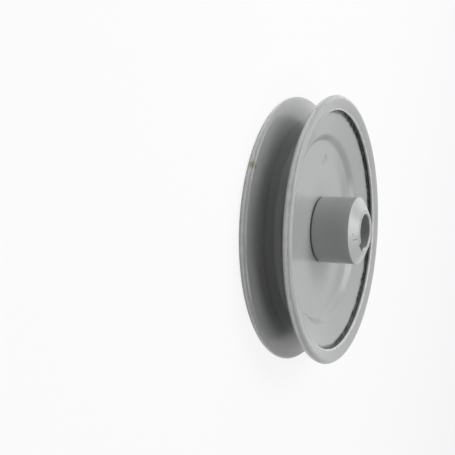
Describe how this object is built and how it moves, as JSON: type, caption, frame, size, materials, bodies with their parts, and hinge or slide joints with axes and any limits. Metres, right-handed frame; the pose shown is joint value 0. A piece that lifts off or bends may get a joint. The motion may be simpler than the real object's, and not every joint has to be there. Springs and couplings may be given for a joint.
{
  "type": "v-belt pulley",
  "caption": "Pressed steel V-belt pulley: dished sheet discs with hemmed rims, web to web on a turned hub with a coned nose, plain bore and keyway.",
  "frame": {"origin": "centre of the bore, in the middle plane of the belt groove", "axes": "+Z along the bore, towards the long end of the hub; the part lies on the rim of its back disc"},
  "size_m": [0.16, 0.16, 0.0444],
  "materials": {
    "disc_paint": "satin grey enamel on pressed steel",
    "hub_paint": "satin grey enamel on turned steel"
  },
  "bodies": {
    "root": {"front_disc": "disc_paint", "back_disc": "disc_paint", "hub": "hub_paint"}
  },
  "joints": []
}
